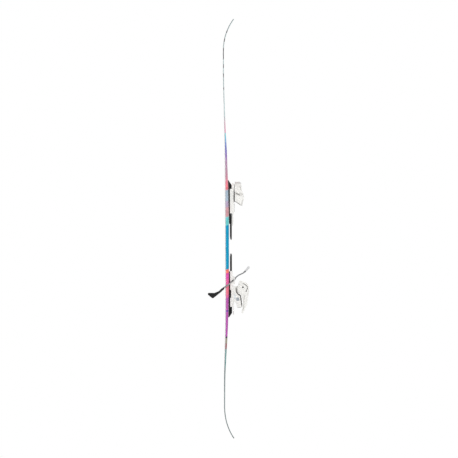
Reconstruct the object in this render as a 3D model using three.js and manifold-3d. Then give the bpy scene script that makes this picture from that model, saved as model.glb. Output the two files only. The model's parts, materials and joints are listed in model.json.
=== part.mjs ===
// One twin-tip alpine ski with a rail-mounted step-in binding and ski brake.
// Millimetres, +X towards the tip, +Y the ski's left side, +Z up from the running base.
// The origin is on the running base, under the middle of the boot.
import * as THREE from 'three';
import { mergeVertices } from 'three/addons/utils/BufferGeometryUtils.js';
import Module from 'manifold-3d';

const wasm = await Module();
wasm.setup();

// ---- driving dimensions -------------------------------------------------------------------

const GAP = 0.3;

const SKI = {
  waistX: -20,
  waistWidth: 78,
  flatHalfLength: 60,
  camber: 6,
  rockerPower: 2.4,
  tip: { endX: 817, widestX: 640, width: 120, contactX: 640, riseX: 690, rise: 38 },
  tail: { endX: -706, widestX: -560, width: 106, contactX: -520, riseX: -580, rise: 34 },
  roundPower: 2.4,
  baseThickness: 1.2,
  edgeHeight: 2.0,
  edgeWidth: 2.1,
  laminate: 0.5,
  skin: 1.0,
};

// Ski thickness at stations along X: tail end, tail, under the heel, middle, under the toe, tip.
const THICKNESS = [
  [-706, 3.4], [-600, 3.6], [-530, 4.4], [-465, 5.0], [-403, 6.9], [-348, 8.7], [-294, 10.5],
  [-240, 11.4], [-167, 13.0], [-40, 14.0], [70, 14.0], [160, 12.7], [240, 10.9], [287, 9.4],
  [341, 8.0], [378, 6.5], [421, 5.0], [486, 4.0], [581, 3.5], [817, 3.4],
];

const RAIL = {
  footHalf: 26,
  webHalf: 19.6,
  headHalf: 26,
  footTop: 17.3,
  headBottom: 20.8,
  headTop: 24.5,
  front: { noseX: 233, shoulderX: 214, footEndX: 75, endX: 14 },
  rear: { frontX: -33, beamEndX: -66, footFrontX: -99, shoulderX: -250, endX: -266 },
  notchPitch: 6,
  notchDepth: 1.6,
};

const CHANNEL = {
  half: 31,
  bottom: 17.7,
  lipTop: 20.4,
  lipHalf: 20.4,
  roomHalf: 26.5,
  roomTop: 24.9,
};

const SOLE = 35.3;
const BOOT = { toeX: 149, heelX: -149, toeRadius: 38, heelRadius: 36 };

const TOE = {
  baseFrontX: 200,
  baseRearX: 111,
  deckTop: 31,
  coreHalf: 13.5,
  springZ: 46.3,
  boreRadius: 8.3,
  pinX: 172,
  pinY: 26,
  pinRadius: 3,
  hubOuter: 17,
  hubInner: 11.3,
  wingBottom: 36,
  wingTop: 69.5,
};

const HEEL = {
  baseFrontX: -98,
  baseRearX: -228,
  deckTop: 27.5,
  carriageTop: 31.4,
  axleX: -157,
  axleZ: 64,
  springZ: 50,
  boreRadius: 7,
  bodyHalf: 27,
  cupHalf: 30,
  leverHalf: 34,
};

const BRAKE = { x: -131, z: 30.6, wireRadius: 2.75, armY: 49.5, housingHalf: 30 };

// ---- solids -------------------------------------------------------------------------------

function toSolid(geometry) {
  const bare = new THREE.BufferGeometry();
  bare.setAttribute('position', geometry.getAttribute('position').clone());
  if (geometry.index) bare.setIndex(geometry.index.clone());
  const merged = mergeVertices(bare, 1e-4);
  const vertProperties = new Float32Array(merged.getAttribute('position').array);
  const triVerts = new Uint32Array(merged.index.array);
  return new wasm.Manifold(new wasm.Mesh({ numProp: 3, vertProperties, triVerts }));
}

function toGeometry(solid) {
  const mesh = solid.getMesh();
  const geometry = new THREE.BufferGeometry();
  geometry.setAttribute('position', new THREE.BufferAttribute(new Float32Array(mesh.vertProperties), 3));
  geometry.setIndex(new THREE.BufferAttribute(new Uint32Array(mesh.triVerts), 1));
  geometry.computeVertexNormals();
  return geometry;
}

const add = (first, ...others) => others.reduce((sum, piece) => sum.add(piece), first);
const cut = (first, ...tools) => tools.reduce((rest, tool) => rest.subtract(tool), first);

function box(x0, x1, y0, y1, z0, z1) {
  const geometry = new THREE.BoxGeometry(x1 - x0, y1 - y0, z1 - z0);
  geometry.translate((x0 + x1) / 2, (y0 + y1) / 2, (z0 + z1) / 2);
  return toSolid(geometry);
}

function rodX(radius, x0, x1, y, z, sides = 16) {
  const geometry = new THREE.CylinderGeometry(radius, radius, x1 - x0, sides);
  geometry.rotateZ(-Math.PI / 2);
  geometry.translate((x0 + x1) / 2, y, z);
  return toSolid(geometry);
}

function rodY(radius, y0, y1, x, z, sides = 16) {
  const geometry = new THREE.CylinderGeometry(radius, radius, y1 - y0, sides);
  geometry.translate(x, (y0 + y1) / 2, z);
  return toSolid(geometry);
}

function rodZ(radius, z0, z1, x, y, sides = 16, topRadius = radius) {
  const geometry = new THREE.CylinderGeometry(topRadius, radius, z1 - z0, sides);
  geometry.rotateX(Math.PI / 2);
  geometry.translate(x, y, (z0 + z1) / 2);
  return toSolid(geometry);
}

// A side-view outline in X and Z, carried across the ski from y0 to y1.
function acrossY(outline, y0, y1) {
  const shape = new THREE.Shape(outline.map(([x, z]) => new THREE.Vector2(x, z)));
  const geometry = new THREE.ExtrudeGeometry(shape, { depth: y1 - y0, bevelEnabled: false });
  geometry.rotateX(Math.PI / 2);
  geometry.translate(0, y1, 0);
  return toSolid(geometry);
}

// A plan-view outline in X and Y, carried up from z0 to z1.
function upZ(outline, z0, z1) {
  const shape = new THREE.Shape(outline.map(([x, y]) => new THREE.Vector2(x, y)));
  const geometry = new THREE.ExtrudeGeometry(shape, { depth: z1 - z0, bevelEnabled: false });
  geometry.translate(0, 0, z0);
  return toSolid(geometry);
}

// The right-hand copy of a left-hand solid.
const mirrored = (solid) => solid.mirror([0, 1, 0]);

// Adds the mirror image of a plan outline given for +Y only.
const bothSides = (half) => [...half, ...half.map(([x, y]) => [x, -y]).reverse()];

// Points on an arc about a centre, from one angle to another in degrees.
function arc(cx, cz, radius, from, to, steps) {
  return Array.from({ length: steps + 1 }, (_, i) => {
    const angle = THREE.MathUtils.degToRad(from + ((to - from) * i) / steps);
    return [cx + radius * Math.cos(angle), cz + radius * Math.sin(angle)];
  });
}

// A closed skin through rings that all have the same number of points, with flat ends.
function loft(rings) {
  const count = rings[0].length;
  const positions = rings.flat().flatMap((p) => [p.x, p.y, p.z]);
  const index = [];
  for (let r = 0; r + 1 < rings.length; r += 1) {
    for (let i = 0; i < count; i += 1) {
      const a = r * count + i;
      const b = r * count + ((i + 1) % count);
      index.push(a, b, a + count, b, b + count, a + count);
    }
  }
  const cap = THREE.ShapeUtils.triangulateShape(rings[0].map((p) => new THREE.Vector2(p.y, p.z)), []);
  const last = (rings.length - 1) * count;
  for (const [a, b, c] of cap) {
    index.push(c, b, a);
    index.push(last + a, last + b, last + c);
  }
  const geometry = new THREE.BufferGeometry();
  geometry.setAttribute('position', new THREE.Float32BufferAttribute(positions, 3));
  geometry.setIndex(index);
  return toSolid(geometry);
}

// ---- the ski's own surface ----------------------------------------------------------------

const lerpTable = (table, x) => {
  const next = Math.max(1, table.findIndex(([at]) => at >= x));
  const [x0, v0] = table[next - 1];
  const [x1, v1] = table[next];
  return THREE.MathUtils.lerp(v0, v1, THREE.MathUtils.clamp((x - x0) / (x1 - x0), 0, 1));
};

const thickness = (x) => lerpTable(THICKNESS, THREE.MathUtils.clamp(x, SKI.tail.endX, SKI.tip.endX));
const endFor = (x) => (x > SKI.waistX ? SKI.tip : SKI.tail);

function halfWidth(x) {
  const end = endFor(x);
  const along = (x - SKI.waistX) / (end.widestX - SKI.waistX);
  if (along <= 1) {
    const flare = Math.sin((Math.PI / 2) * along) ** 2;
    return THREE.MathUtils.lerp(SKI.waistWidth, end.width, flare) / 2;
  }
  const round = (x - end.widestX) / (end.endX - end.widestX);
  return (end.width / 2) * (1 - (0.999 * round) ** SKI.roundPower) ** (1 / 2.1);
}

function baseZ(x) {
  const end = endFor(x);
  const flat = Math.sign(end.endX) * SKI.flatHalfLength;
  const along = THREE.MathUtils.clamp((x - flat) / (end.contactX - flat), 0, 1);
  const lift = THREE.MathUtils.clamp((x - end.riseX) / (end.endX - end.riseX), 0, 1);
  return end.rise * lift ** SKI.rockerPower - SKI.camber * Math.sin((Math.PI / 2) * along ** 2) ** 2;
}

// The point a height h above the base, square to it, at a distance y from the middle line.
function onSki(x, y, h) {
  const slope = (baseZ(x + 0.5) - baseZ(x - 0.5)) / 1;
  const normal = new THREE.Vector3(-slope, 0, 1).normalize();
  return new THREE.Vector3(x, y, baseZ(x)).addScaledVector(normal, h);
}

const skiTop = (x) => baseZ(x) + thickness(x);

// Stations along the ski: close together round the ends, wider along the middle.
function stations(from, to) {
  const rounding = [0, 0.02, 0.06, 0.13, 0.22, 0.33, 0.46, 0.6, 0.75];
  const tail = rounding.map((t) => THREE.MathUtils.lerp(SKI.tail.endX, SKI.tail.widestX, t));
  const tip = rounding.map((t) => THREE.MathUtils.lerp(SKI.tip.endX, SKI.tip.widestX, t)).reverse();
  const middle = [-560, -520, -480, -430, -370, -300, -230, -150, -60, 60, 140, 210, 280, 350, 420, 500, 580, 640];
  const all = [...tail, ...middle, ...tip].filter((x) => x > from + 4 && x < to - 4);
  return [from, ...all, to];
}

function layer(from, to, halfAt, low, highAt) {
  return loft(stations(from, to).map((x) => {
    const half = halfAt(x);
    const high = highAt(x);
    return [onSki(x, -half, low), onSki(x, half, low), onSki(x, half, high), onSki(x, -half, high)];
  }));
}

const EDGE_FROM = -650;
const EDGE_TO = 752;
const insideEdges = (x) => halfWidth(x) - SKI.edgeWidth - GAP;

function baseSheet() {
  const beside = (x) => (x < EDGE_FROM - 1 || x > EDGE_TO + 1 ? halfWidth(x) : insideEdges(x));
  const split = [EDGE_FROM - 2, EDGE_FROM - 0.5, EDGE_TO + 0.5, EDGE_TO + 2];
  const xs = [...stations(SKI.tail.endX, SKI.tip.endX), ...split].sort((a, b) => a - b);
  return loft(xs.map((x) => {
    const half = beside(x);
    const top = SKI.baseThickness;
    return [onSki(x, -half, 0), onSki(x, half, 0), onSki(x, half, top), onSki(x, -half, top)];
  }));
}

function steelEdge() {
  return loft(stations(EDGE_FROM, EDGE_TO).map((x) => {
    const outer = halfWidth(x);
    const inner = outer - SKI.edgeWidth;
    const top = SKI.edgeHeight;
    return [onSki(x, inner, 0), onSki(x, outer, 0), onSki(x, outer, top), onSki(x, inner, top)];
  }));
}

const CAP_LOW = SKI.edgeHeight + GAP;

// The cap's section at a station: half-widths of its outer top, inner top and inner foot.
function capSection(x) {
  const half = halfWidth(x);
  const rise = thickness(x) - CAP_LOW;
  const outerTop = half - Math.min(0.6 * rise + 1.5, 0.45 * half);
  const innerTop = outerTop - Math.min(1, 0.3 * outerTop);
  const innerFoot = half - Math.min(1.6, 0.25 * half);
  return { half, rise, outerTop, innerTop, innerFoot };
}

function capTopsheet() {
  return loft(stations(SKI.tail.endX, SKI.tip.endX).map((x) => {
    const { half, rise, outerTop, innerTop, innerFoot } = capSection(x);
    const top = thickness(x);
    const roof = Math.max(CAP_LOW + 0.05, top - SKI.skin);
    const right = [
      [half, CAP_LOW],
      [THREE.MathUtils.lerp(half, outerTop, 0.33), CAP_LOW + 0.62 * rise],
      [THREE.MathUtils.lerp(half, outerTop, 0.72), CAP_LOW + 0.92 * rise],
      [outerTop, top],
    ];
    const outer = [...right, ...right.map(([y, h]) => [-y, h]).reverse()];
    const inner = [[-innerFoot, CAP_LOW], [-innerTop, roof], [innerTop, roof], [innerFoot, CAP_LOW]];
    return [...outer, ...inner].map(([y, h]) => onSki(x, y, h));
  }));
}

function woodCore() {
  return loft(stations(-452, 412).map((x) => {
    const { innerTop, innerFoot } = capSection(x);
    const low = CAP_LOW + 0.1;
    const high = thickness(x) - 2.2;
    const ring = [[-innerFoot + 0.6, low], [innerFoot - 0.6, low], [innerTop - 0.2, high], [0.2 - innerTop, high]];
    return ring.map(([y, h]) => onSki(x, y, h));
  }));
}

function upperLaminate() {
  return loft(stations(-448, 408).map((x) => {
    const half = capSection(x).innerTop - 0.4;
    const low = thickness(x) - 1.85;
    const high = thickness(x) - 1.35;
    return [onSki(x, -half, low), onSki(x, half, low), onSki(x, half, high), onSki(x, -half, high)];
  }));
}

// ---- rails and their screws ---------------------------------------------------------------

const SCREW = { headRadius: 4.2, headTop: 22.4, headBottom: 20, shankRadius: 2.2, tip: 6.5, clearance: 0.35 };
const RAIL_SCREWS = {
  front_rail_screw: [[192, 13], [192, -13], [90, 13], [90, -13]],
  rear_rail_screw: [[-120, 13], [-120, -13], [-212, 13], [-212, -13]],
};

function railScrew(x, y) {
  const profile = [
    [0, SCREW.tip], [SCREW.shankRadius, SCREW.tip + 2], [SCREW.shankRadius, SCREW.headBottom],
    [SCREW.headRadius, SCREW.headTop - 0.8], [SCREW.headRadius - 0.5, SCREW.headTop], [0, SCREW.headTop],
  ].map(([r, z]) => new THREE.Vector2(r, z));
  const geometry = new THREE.LatheGeometry(profile, 10);
  geometry.rotateX(Math.PI / 2);
  geometry.translate(x, y, 0);
  return toSolid(geometry);
}

// The bored and counterbored hole that a rail screw needs.
function screwHole([x, y]) {
  const shank = rodZ(SCREW.shankRadius + SCREW.clearance, 4.2, 40, x, y, 8);
  const head = rodZ(SCREW.headRadius + SCREW.clearance, SCREW.headBottom - 0.6, 40, x, y, 10);
  return add(shank, head);
}

const SCREW_HOLES = Object.values(RAIL_SCREWS).flat().map(screwHole);
const drilled = (solid) => cut(solid, ...SCREW_HOLES);

// An I-section rail along X, its foot following the curve of the ski.
function railBlank(from, to) {
  const foot = loft([from, ...stations(from, to).slice(1, -1), to].map((x) => {
    const low = skiTop(x) + GAP;
    const half = RAIL.footHalf;
    return [[-half, low], [half, low], [half, RAIL.footTop], [-half, RAIL.footTop]]
      .map(([y, z]) => new THREE.Vector3(x, y, z));
  }));
  const web = box(from, to, -RAIL.webHalf, RAIL.webHalf, RAIL.footTop - 0.5, RAIL.headBottom + 0.5);
  const head = box(from, to, -RAIL.headHalf, RAIL.headHalf, RAIL.headBottom, RAIL.headTop);
  return add(foot, web, head);
}

function notches(from, to) {
  const count = Math.floor((to - from) / RAIL.notchPitch);
  return Array.from({ length: count }, (_, i) => {
    const x = from + i * RAIL.notchPitch;
    return box(x, x + RAIL.notchPitch / 2, -5, 5, RAIL.headTop - RAIL.notchDepth, RAIL.headTop + 1);
  });
}

function frontRail() {
  const { noseX, shoulderX, footEndX, endX } = RAIL.front;
  const ramp = acrossY([[shoulderX, RAIL.headTop], [noseX, 12.2], [noseX + 5, 12.2], [noseX + 5, 40], [shoulderX, 40]], -40, 40);
  const waist = upZ([[130, 19], [130, 50], [96, 50], [96, 22]], 0, 40);
  const beam = acrossY([
    [endX, 22.4], [endX + 2, 20], [endX + 7, 18.2], [endX + 16, 17.3], [footEndX - 0.6, 17.3],
    [footEndX - 0.6, RAIL.headTop], [endX + 16, RAIL.headTop], [endX + 4, 24],
  ], -RAIL.headHalf, RAIL.headHalf);
  const rail = add(beam, railBlank(footEndX - 2, noseX));
  return drilled(cut(rail, ramp, waist, mirrored(waist), ...notches(52, 106)));
}

function rearRail() {
  const { frontX, beamEndX, footFrontX, shoulderX, endX } = RAIL.rear;
  const ramp = acrossY([[shoulderX, RAIL.headTop], [shoulderX, 40], [endX - 5, 40], [endX - 5, 13.5], [endX, 13.5]], -40, 40);
  const beam = acrossY([
    [frontX, 21], [frontX - 3, 23.4], [frontX - 9, RAIL.headTop], [beamEndX - 1, RAIL.headTop],
    [beamEndX - 1, 17.3], [frontX - 14, 17.3], [frontX - 4, 18.6],
  ], -RAIL.headHalf, RAIL.headHalf);
  const floating = add(
    box(footFrontX - 1, beamEndX, -RAIL.webHalf, RAIL.webHalf, RAIL.footTop, RAIL.headBottom + 0.5),
    box(footFrontX - 1, beamEndX, -RAIL.headHalf, RAIL.headHalf, RAIL.headBottom, RAIL.headTop),
  );
  const rail = add(beam, floating, railBlank(endX, footFrontX));
  return drilled(cut(rail, ramp, ...notches(-96, -60)));
}

// A channel that wraps the head of a rail and slides along it.
function channel(from, to, top) {
  const c = CHANNEL;
  return cut(
    box(from, to, -c.half, c.half, c.bottom, top),
    box(from - 1, to + 1, -c.lipHalf, c.lipHalf, c.bottom - 1, c.lipTop + 1),
    box(from - 1, to + 1, -c.roomHalf, c.roomHalf, c.lipTop, c.roomTop),
  );
}

// ---- springs ------------------------------------------------------------------------------

class Coil extends THREE.Curve {
  constructor(radius, turns, length) {
    super();
    Object.assign(this, { radius, turns, length });
  }

  getPoint(t, target = new THREE.Vector3()) {
    const angle = t * this.turns * 2 * Math.PI;
    return target.set(t * this.length, this.radius * Math.cos(angle), this.radius * Math.sin(angle));
  }
}

function coilSpring({ radius, wire, turns, length }) {
  const section = new THREE.Shape(arc(0, 0, wire, 0, 300, 5).map(([x, y]) => new THREE.Vector2(x, y)));
  return new THREE.ExtrudeGeometry(section, {
    steps: turns * 9,
    bevelEnabled: false,
    extrudePath: new Coil(radius, turns, length),
  });
}

function springAt(size, x, y, z, alongY = false) {
  const geometry = coilSpring(size);
  if (alongY) geometry.rotateZ(Math.PI / 2);
  geometry.translate(x, y, z);
  return toSolid(geometry);
}

// ---- toe unit -----------------------------------------------------------------------------

const wingHub = (extra) => add(
  rodZ(TOE.hubOuter + extra, TOE.wingBottom - extra, 60 + extra, TOE.pinX, TOE.pinY, 28, 10 + extra)
    .intersect(box(TOE.pinX - 40, TOE.pinX + 40, TOE.pinY - 2 * extra, 90, 0, 90)),
  rodZ(TOE.hubInner + extra, TOE.wingBottom - extra, TOE.wingTop - 3, TOE.pinX, TOE.pinY, 20),
);

const pinHoles = () => [1, -1].map(
  (side) => rodZ(TOE.pinRadius + 0.3, 28, 60, TOE.pinX, side * TOE.pinY, 12),
);

function toeBase() {
  const deck = channel(TOE.baseRearX, TOE.baseFrontX, TOE.deckTop);
  const lip = acrossY([
    [TOE.baseFrontX - 2, 25.3], [219, 25.3], [223, 28.4], [221, 31.6], [TOE.baseFrontX, 32.7],
    [193, 32.7], [193, 30], [TOE.baseFrontX - 2, 30],
  ], -27, 27);
  return cut(add(deck, lip), ...pinHoles());
}

// The dark plate between the base and the wings.
function toeSeat() {
  const plate = upZ(bothSides([[192.6, 27], [188, 30], [153, 30]]), TOE.deckTop + GAP, 34.8);
  const tongue = upZ(bothSides([[217, 20], [208, 26], [188, 28]]), 33.1, 34.8);
  return cut(add(plate, tongue), ...pinHoles());
}

function toeHousing() {
  const outline = [
    [220, 35.2], [220, 55.8], [200, 58.2], [180, 61], [152, 62], [141, 60.4], [141, 56.5],
    [149.6, 55.5], [152, 52], [152, 35.2],
  ];
  const body = acrossY(outline, -TOE.coreHalf, TOE.coreHalf);
  const bore = rodX(TOE.boreRadius, 158, 230, 0, TOE.springZ, 20);
  const windowWell = box(199, 211, -4, 4, 50, 70);
  return cut(body, bore, windowWell);
}

function toeCap() {
  const side = [[180, 35.2], [225.5, 35.2], [226, 52], [221.5, 58.6], [192, 62.8], [180, 66]];
  const inside = [[170, 30], [223, 30], [223, 56.3], [200, 58.8], [180, 61.6], [170, 62]];
  const plan = upZ(bothSides([[226.5, 14], [220, 24], [205, 29.5], [180, 31]]), 30, 70);
  const planInside = upZ(bothSides([[223, 13.9], [217, 21.5], [203, 26.8], [170, 28.4]]), 20, 80);
  const shell = cut(
    acrossY(side, -31, 31).intersect(plan),
    acrossY(inside, -30, 30).intersect(planInside),
  );
  const hub = wingHub(0.6);
  const screw = rodX(7.6, 215, 235, 0, TOE.springZ, 20);
  const windowHole = box(199, 211, -4.6, 4.6, 50, 80);
  return cut(shell, hub, mirrored(hub), screw, windowHole);
}

function toeWing() {
  const plan = [
    [172, 15], [152.5, 15], [147.4, 17], [144.2, 22], [141.4, 25.5], [138.6, 29], [138.4, 38],
    [141, 41.5], [150, 43.5], [172, 43],
  ];
  const side = [
    [190, 36], [154, 36], [145, 48], [139.5, 56], [138.4, 62.5], [152, 65], [165, 69.5],
    [176, 69.5], [190, 69.5],
  ];
  const arm = upZ(plan, TOE.wingBottom, TOE.wingTop).intersect(acrossY(side, 0, 60));
  const bore = rodZ(TOE.pinRadius + 0.3, 20, 90, TOE.pinX, TOE.pinY, 16);
  return cut(add(arm, wingHub(0)), bore);
}

const wingPin = () => rodZ(TOE.pinRadius, 28.3, 67.5, TOE.pinX, TOE.pinY, 12);
const toePullRod = () => add(
  rodX(3.2, 162, 194, 0, TOE.springZ, 12),
  rodX(7.9, 159.5, 163, 0, TOE.springZ, 16),
);
const ring = (outer, inner, x0, x1, z) => cut(
  rodX(outer, x0, x1, 0, z, 18),
  rodX(inner, x0 - 1, x1 + 1, 0, z, 14),
);

// A release screw: a slotted head outside and a threaded shank inside.
function releaseScrew(headRadius, headX, shankX, outward, z) {
  const headOut = headX + outward * 6.5;
  const span = (a, b) => [Math.min(a, b), Math.max(a, b)];
  const head = rodX(headRadius, ...span(headX, headOut), 0, z, 18);
  const shank = rodX(3, ...span(headX, shankX), 0, z, 12);
  const deep = span(headOut - outward * 2.2, headOut + outward);
  return cut(
    add(head, shank),
    box(deep[0], deep[1], -4.6, 4.6, z - 0.9, z + 0.9),
    box(deep[0], deep[1], -0.9, 0.9, z - 4.6, z + 4.6),
  );
}

const toeWindow = () => box(199.5, 210.5, -4.2, 4.2, 59.6, 60.9);
const afdBase = () => cut(
  box(112, 151, -29, 29, TOE.deckTop + GAP, 34),
  box(115.5, 146.5, -40, 40, 33.2, 36),
);
const afdPlate = () => box(116, 146, -24, 24, 33.5, SOLE);

function toeLatch() {
  const outline = [[109.5, 25.1], [109.5, 29.4], [84, 30.2], [66, 28.2], [65, 26.4], [78, 25.1]];
  return cut(acrossY(outline, -14, 14), box(60, 76, -5, 5, 20, 35));
}

// ---- heel unit ----------------------------------------------------------------------------

function heelBase() {
  return cut(
    channel(HEEL.baseRearX, HEEL.baseFrontX, HEEL.deckTop),
    box(-139, -102, -17, 17, 20, 40),
    box(-226, -168, -8, 8, 20, 40),
    box(-195, -167, -40, 40, 17, 21.2),
  );
}

function heelCarriage() {
  const plan = upZ(bothSides([[-151, 28], [-156, 30], [-244, 30], [-256, 22]]), HEEL.deckTop + 0.4, HEEL.carriageTop);
  return cut(plan, box(-222, -172, -6.5, 6.5, 20, 40));
}

function heelHousing() {
  const outline = [
    [-153, 31.8], [-153, 39.5], [-160, 42], [-172, 42], [-180, 46.5], [-186, 56], [-200, 58.3],
    [-212, 61.3], [-228, 61.8], [-230, 60], [-230, 42], [-220, 40.5], [-212, 36.4], [-209, 31.8],
  ];
  const cheekOutline = [
    [-176, 43], [-172, 42.2], [-160, 42], [-153, 39.5], [-149.5, 62], ...arc(HEEL.axleX, HEEL.axleZ, 8, 0, 180, 8),
    [-170, 60], [-180, 47],
  ];
  const cheeks = [1, -1].map((side) => acrossY(cheekOutline, side * 21.5 - 3.5, side * 21.5 + 3.5));
  return cut(
    add(acrossY(outline, -HEEL.bodyHalf, HEEL.bodyHalf), ...cheeks),
    rodX(HEEL.boreRadius, -240, -170, 0, HEEL.springZ, 18),
    rodY(3.6, -40, 40, HEEL.axleX, HEEL.axleZ, 16),
    box(-208, -196, -3.6, 3.6, 50, 70),
  );
}

const CUP_TURN = THREE.MathUtils.degToRad(36);

// The boot heel as it stands when the cup is shut, swung back to where the cup is open.
function bootHeelRoom() {
  const geometry = new THREE.CylinderGeometry(BOOT.heelRadius, BOOT.heelRadius, 34, 40);
  geometry.rotateX(Math.PI / 2);
  geometry.translate(BOOT.heelX + BOOT.heelRadius - HEEL.axleX, 0, 49 - HEEL.axleZ);
  geometry.rotateY(-CUP_TURN);
  geometry.translate(HEEL.axleX, 0, HEEL.axleZ);
  return toSolid(geometry);
}

function heelCup() {
  const outline = [
    [-154, 47.5], [-141, 48.2], [-134.5, 52], [-133, 58], [-136, 67], [-140, 75], [-145.6, 82],
    [-152, 84.4], ...arc(HEEL.axleX, HEEL.axleZ, 20.5, 95, 255, 12),
  ];
  const sweep = [
    ...arc(HEEL.axleX, HEEL.axleZ, 27.5, -140, -40, 8), [HEEL.axleX + 14.1, HEEL.axleZ - 7.5],
    [HEEL.axleX + 11.5, HEEL.axleZ - 3.3], ...arc(HEEL.axleX, HEEL.axleZ, 9.4, 0, 180, 8),
  ];
  const cheekRoom = [1, -1].flatMap((side) => [
    box(-190, -148.4, side * 21.5 - 4.1, side * 21.5 + 4.1, 30, 73),
    acrossY(sweep, side * 21.5 - 4.1, side * 21.5 + 4.1),
  ]);
  const piston = box(-190, -160, -12, 12, 30, 56);
  const axle = rodY(3.6, -40, 40, HEEL.axleX, HEEL.axleZ, 16);
  return cut(acrossY(outline, -HEEL.cupHalf, HEEL.cupHalf), bootHeelRoom(), ...cheekRoom, piston, axle);
}

function heelLever() {
  const outline = [
    [-159, 43.8], [-146.6, 50], [-142.6, 56], [-141.8, 62], [-143.6, 69], [-146.4, 77], [-151, 84.8],
    [-160, 86.5], [-174, 86], [-199.7, 81.7], [-219, 79.4], [-231, 73.8], [-253, 63], [-250.5, 57.6],
    [-232, 62.4], [-212, 63.6], [-200, 60.2], [-188.6, 58], [-181.8, 51.5], [-171.6, 44.8],
  ];
  return cut(
    acrossY(outline, -HEEL.leverHalf, HEEL.leverHalf),
    rodY(22, -30.4, 30.4, HEEL.axleX, HEEL.axleZ, 40),
    box(-185, -130, -30.4, 30.4, 40, 90),
    box(-202, -180, -30.4, 30.4, 40, 60.4),
    box(-240, -210, -30, 30, 64.5, 70).translate([-3, 0, 0]),
    rodY(3.6, -40, 40, HEEL.axleX, HEEL.axleZ, 16),
  );
}

const heelAxle = () => rodY(3.2, -35, 35, HEEL.axleX, HEEL.axleZ, 16);
const heelPiston = () => rodX(6.6, -190, -181, 0, HEEL.springZ, 16);
const heelWindow = () => box(-207.6, -196.4, -3.2, 3.2, 58.2, 59.2);

// ---- brake --------------------------------------------------------------------------------

function brakeHousing() {
  const plan = bothSides([[-118, 26], [-122, BRAKE.housingHalf], [-146, BRAKE.housingHalf]]);
  return cut(
    upZ(plan, HEEL.deckTop + 0.4, SOLE),
    box(-139, -110, -17, 17, 20, 50),
    rodY(BRAKE.wireRadius + 0.3, -50, 50, BRAKE.x, BRAKE.z, 14),
  );
}

// A bent steel wire through hand-placed points with rounded corners.
function wire(points, radius, steps) {
  const curve = new THREE.CatmullRomCurve3(points.map((p) => new THREE.Vector3(...p)), false, 'centripetal');
  const section = new THREE.Shape(arc(0, 0, radius, 0, 315, 7).map(([x, y]) => new THREE.Vector2(x, y)));
  return toSolid(new THREE.ExtrudeGeometry(section, { steps, bevelEnabled: false, extrudePath: curve }));
}

const ARM_ROUTE = [
  [BRAKE.x, 0.5, BRAKE.z], [BRAKE.x, 20, BRAKE.z], [BRAKE.x, 38, BRAKE.z], [BRAKE.x - 1.5, 43.5, BRAKE.z - 1.5],
  [BRAKE.x - 5, BRAKE.armY - 0.6, BRAKE.z - 7], [-148, BRAKE.armY, 11], [-161, BRAKE.armY, -9], [-168.5, BRAKE.armY, -18],
];

const brakeWire = () => wire(ARM_ROUTE, BRAKE.wireRadius, 24);

// The plastic foot: a leg over the end of the wire and a hooked blade with a thin web.
function brakeFoot() {
  const blade = [
    [-157, -4.5], [-163.5, -3.5], [-178, -20], [-196, -43], [-196.5, -48], [-184, -63], [-179.5, -63.4],
    [-177, -60.5], [-177.5, -40], [-172, -26],
  ];
  const hollow = [[-179, -33], [-190, -46.5], [-182.5, -55.5], [-181, -54.5]];
  return cut(
    acrossY(blade, BRAKE.armY - 4, BRAKE.armY + 4),
    acrossY(hollow, BRAKE.armY + 1, BRAKE.armY + 8),
    acrossY(hollow, BRAKE.armY - 8, BRAKE.armY - 1),
    wire(ARM_ROUTE, BRAKE.wireRadius + 0.35, 24),
    box(-171, -168.4, BRAKE.armY - 2.4, BRAKE.armY + 2.4, -20.2, -17),
  );
}

function brakePedal() {
  const link = [
    ...arc(BRAKE.x, BRAKE.z, 4.9, 110, 340, 9), [-119.6, 37.4], [-111.8, 46.9], [-104.2, 63.2],
    [-99.5, 69], [-95.4, 72.2], [-99.2, 76.6], [-103.2, 72.4], [-107.8, 65.6], [-115.3, 49.2], [-122.4, 40.6],
  ];
  const arms = [1, -1].map((side) => acrossY(link, side * 13 - 3, side * 13 + 3));
  const bridge = acrossY([[-101.6, 66.4], [-95.4, 72.2], [-99.2, 76.6], [-105.4, 69.2]], -16, 16);
  return cut(add(bridge, ...arms), rodY(BRAKE.wireRadius + 0.3, -40, 40, BRAKE.x, BRAKE.z, 14));
}

function brakePad() {
  const outline = [[-98.6, 77.2], [-94.6, 72.6], [-81.5, 82.4], [-80.6, 86], [-84, 89], [-88, 88.4]];
  return acrossY(outline, -22, 22);
}

// ---- assembly -----------------------------------------------------------------------------

const finish = (color, roughness, metalness) => new THREE.MeshStandardMaterial({ color, roughness, metalness });
const FINISH = {
  base: finish('#b9c4cc', 0.45, 0),
  steel: finish('#b4bac0', 0.3, 1),
  laminate: finish('#cfcaa8', 0.6, 0),
  wood: finish('#c9a46a', 0.7, 0),
  graphic: finish('#2fa4c8', 0.3, 0),
  white: finish('#eceeef', 0.35, 0),
  black: finish('#17181a', 0.5, 0),
  clear: finish('#9fb6bf', 0.1, 0),
  spring: finish('#6d7278', 0.35, 1),
  red: finish('#c8402f', 0.4, 0),
};

const model = new THREE.Group();

function piece(name, solid, material) {
  const mesh = new THREE.Mesh(toGeometry(solid), material);
  mesh.name = name;
  model.add(mesh);
}

function skiPieces() {
  piece('base_sheet', baseSheet(), FINISH.base);
  piece('steel_edge_left', steelEdge(), FINISH.steel);
  piece('steel_edge_right', mirrored(steelEdge()), FINISH.steel);
  const laminateTop = () => SKI.baseThickness + GAP + SKI.laminate;
  const laminate = layer(-690, 800, (x) => insideEdges(x) - 0.3, SKI.baseThickness + GAP, laminateTop);
  piece('lower_laminate', laminate, FINISH.laminate);
  piece('wood_core', drilled(woodCore()), FINISH.wood);
  piece('upper_laminate', drilled(upperLaminate()), FINISH.laminate);
  piece('cap_topsheet', drilled(capTopsheet()), FINISH.graphic);
}

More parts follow.
